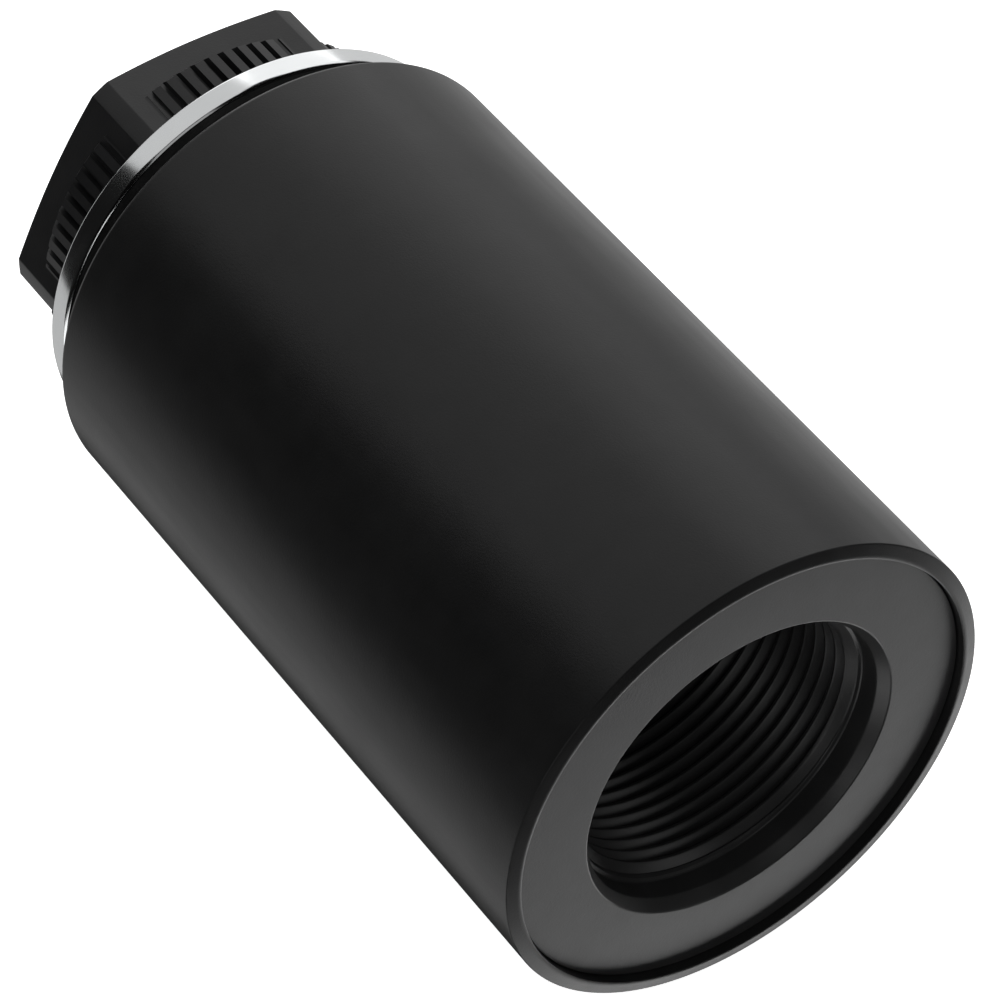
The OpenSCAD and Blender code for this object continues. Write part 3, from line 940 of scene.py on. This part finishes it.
def toothed_collar():
    """The grip teeth as a closed ring, bevelled at its free end."""
    step = math.tau / TEETH
    tooth = bmesh.new()
    # Share of the step round the axis, and radius
    marks = [(0, tooth_root_r), (0.12, tooth_root_r), (0.22, tooth_tip_r), (0.78, tooth_tip_r),
             (0.88, tooth_root_r), (1, tooth_root_r)]
    verts = [tooth.verts.new((0, r * math.cos(step * a), r * math.sin(step * a)))
             for a, r in marks]
    for a, b in zip(verts, verts[1:]):
        tooth.edges.new((a, b))
    bmesh.ops.spin(tooth, geom=tooth.verts[:] + tooth.edges[:], cent=(0, 0, 0),
                   axis=(1, 0, 0), angle=math.tau, steps=TEETH, use_duplicate=True)
    bmesh.ops.remove_doubles(tooth, verts=tooth.verts, dist=TOUCH)
    end = nut_high.x - TEETH_LENGTH
    bmesh.ops.translate(tooth, vec=(end + TOOTH_DEPTH, 0, 0), verts=tooth.verts)
    edges = tooth.edges[:]

    def drawn_out(shift, r=None):
        """Extrudes the outline along X, and onto a circle if a radius is given."""
        made = bmesh.ops.extrude_edge_only(tooth, edges=edges)["geom"]
        moved = [g for g in made if isinstance(g, bmesh.types.BMVert)]
        for v in moved:
            v.co.x += shift
            if r is not None:
                share = r / radius_of(v)
                v.co.y *= share
                v.co.z *= share
        return [g for g in made if isinstance(g, bmesh.types.BMEdge) and g.is_boundary]

    outer_end = drawn_out(-TOOTH_DEPTH, tooth_root_r)
    far_end = drawn_out(TEETH_LENGTH - TOOTH_DEPTH)
    inner = []
    for loop in (outer_end, far_end):
        edges = loop
        inner += drawn_out(0, nut_bore_r + 1)
    bmesh.ops.bridge_loops(tooth, edges=inner)
    bmesh.ops.recalc_face_normals(tooth, faces=tooth.faces)
    return tooth


bm = boolean(hexagon_blank(), toothed_collar(), "UNION")
bore_wall = [f for f in bm.faces if all(abs(radius_of(v) - nut_bore_r) < 0.01 for v in f.verts)]
bmesh.ops.delete(bm, geom=bore_wall, context="FACES")
print("locknut bore faces replaced:", len(bore_wall))
nut_thread = helix(nut_thread_low, nut_thread_high, nipple_r - THREAD_DEPTH + NUT_THREAD_SLACK,
                   nipple_r + NUT_THREAD_SLACK)
cone_end(nut_thread, nut_thread_low, 0.8, nipple_r + 0.1, widen=True)
merge_in(bm, nut_thread)
for thread_x, face in ((nut_thread_low, nut_low.x), (nut_thread_high, nut_high.x)):
    join_loops(bm, open_loop_at(bm, thread_x), open_loop_at(bm, face))
piece(bm, "toothed_locknut", "nut", nut_plastic, ["locknut"], sharp=25)

# %% [markdown]
# The floor is a plain pale sheet under the lowest point of the body. It glows a little, so
# that it stays pale everywhere. Reflections and bounced light leave it out, because a black
# glossy body would mirror it and turn grey, and it throws no shadow, because some of the
# lamps stand lower than the floor.

# %% Floor
FLOOR_HALF = 6
FLOOR_GLOW = 0.9
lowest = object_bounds()[0].z
bm = bmesh.new()
bmesh.ops.create_grid(bm, x_segments=1, y_segments=1, size=FLOOR_HALF)
bmesh.ops.translate(bm, vec=(0, 0, lowest), verts=bm.verts)
floor_mesh = bpy.data.meshes.new("floor")
bm.to_mesh(floor_mesh)
bm.free()
floor = bpy.data.objects.new("floor", floor_mesh)
bpy.context.scene.collection.objects.link(floor)
floor_paint = finish("floor_paint", (0.9, 0.9, 0.9), 0.9, specular=0.1)
shader_of(floor_paint).inputs["Emission Color"].default_value = (1, 1, 1, 1)
shader_of(floor_paint).inputs["Emission Strength"].default_value = FLOOR_GLOW
floor_mesh.materials.append(floor_paint)
floor.visible_glossy = False
floor.visible_diffuse = False
floor.visible_shadow = False
print("floor at", round(lowest / MM, 2), "mm")

# %% [markdown]
# A round black body shows little but the lamps that it mirrors, so each soft box is placed by
# the strip of the body that should mirror it. Seen from this camera every point of the side
# mirrors a direction that leans back along the axis by the same amount, and only its angle
# round the axis changes. A soft box therefore reaches from one such angle to another. The
# lamps after those light the hub's end: the front card is low, so the rim's wall keeps its
# light off the outer edge of the end face, and the others reach the thread, the bevelled
# mouth and the ring. The sky is only a dim fill, which no surface mirrors.

# %% Lamps
LEAN = -toward.x
BOX_DISTANCE = 0.9
BOX_HEIGHT = 1.7
CARD_DISTANCE = 0.9
FRONT_CARD_DISTANCE = 0.6
FACE_BOX_DISTANCE = 0.8
SKY_STRENGTH = 0.4


def soft_box(name, center, wide, across, high, brightness):
    """A rectangular lamp that faces the device, wide along one direction, out of sight."""
    data = bpy.data.lights.new(name, "AREA")
    data.shape = "RECTANGLE"
    data.size = wide
    data.size_y = high
    data.energy = brightness * math.pi * wide * high
    lamp = bpy.data.objects.new(name, data)
    bpy.context.scene.collection.objects.link(lamp)
    out = center.normalized()
    side = (across - out * across.dot(out)).normalized()
    lamp.matrix_world = Matrix.Translation(CAMERA_AIM + center) @ Matrix(
        (side, out.cross(side), out)).transposed().to_4x4()
    lamp.visible_camera = False


def mirrored_box(name, first, last, brightness):
    """A soft box that the side mirrors between two angles round the axis, in degrees."""
    middle = math.radians((first + last) / 2)
    spread_out = math.sqrt(1 - LEAN * LEAN)
    center = Vector((LEAN, spread_out * math.cos(middle), spread_out * math.sin(middle)))
    half = math.radians((last - first) / 2) * spread_out
    wide = 2 * BOX_DISTANCE * math.tan(half)
    soft_box(name, center * BOX_DISTANCE, wide,
             Vector((0, -math.sin(middle), math.cos(middle))), BOX_HEIGHT, brightness)
    print(name, "width", round(wide, 2))


mirrored_box("edge_card", -52, 18, 0.7)
mirrored_box("right_box", 20, 66, 1.1)
mirrored_box("top_box", 68, 132, 0.66)
mirrored_box("dim_card", 134, 204, 0.008)
mirrored_box("left_card", 206, 262, 0.55)
soft_box("front_card", Vector((0.34, 0.44, -0.83)) * FRONT_CARD_DISTANCE, 0.7,
         Vector((0, 1, 0)), 0.2, 2.75)
soft_box("crest_box", Vector((0.58, -0.25, 0.77)) * CARD_DISTANCE, 0.5,
         Vector((1, 0, 0)), 0.5, 0.35)
soft_box("low_card", Vector((0.2, -0.69, -0.69)) * CARD_DISTANCE, 0.6,
         Vector((1, 0, 0)), 0.6, 1.3)
soft_box("side_card", Vector((0.73, -0.68, 0.08)) * CARD_DISTANCE, 0.4,
         Vector((0, 0, 1)), 0.4, 1.2)
soft_box("face_box", direction(128, 12) * FACE_BOX_DISTANCE, 0.35, Vector((0, 0, 1)), 0.35, 0.9)
world = bpy.data.worlds.new("sky")
bpy.context.scene.world = world
world.use_nodes = True
world.node_tree.nodes["Background"].inputs["Color"].default_value = (1, 1, 1, 1)
world.node_tree.nodes["Background"].inputs["Strength"].default_value = SKY_STRENGTH
world.cycles_visibility.glossy = False
bpy.context.scene.view_settings.view_transform = "Standard"
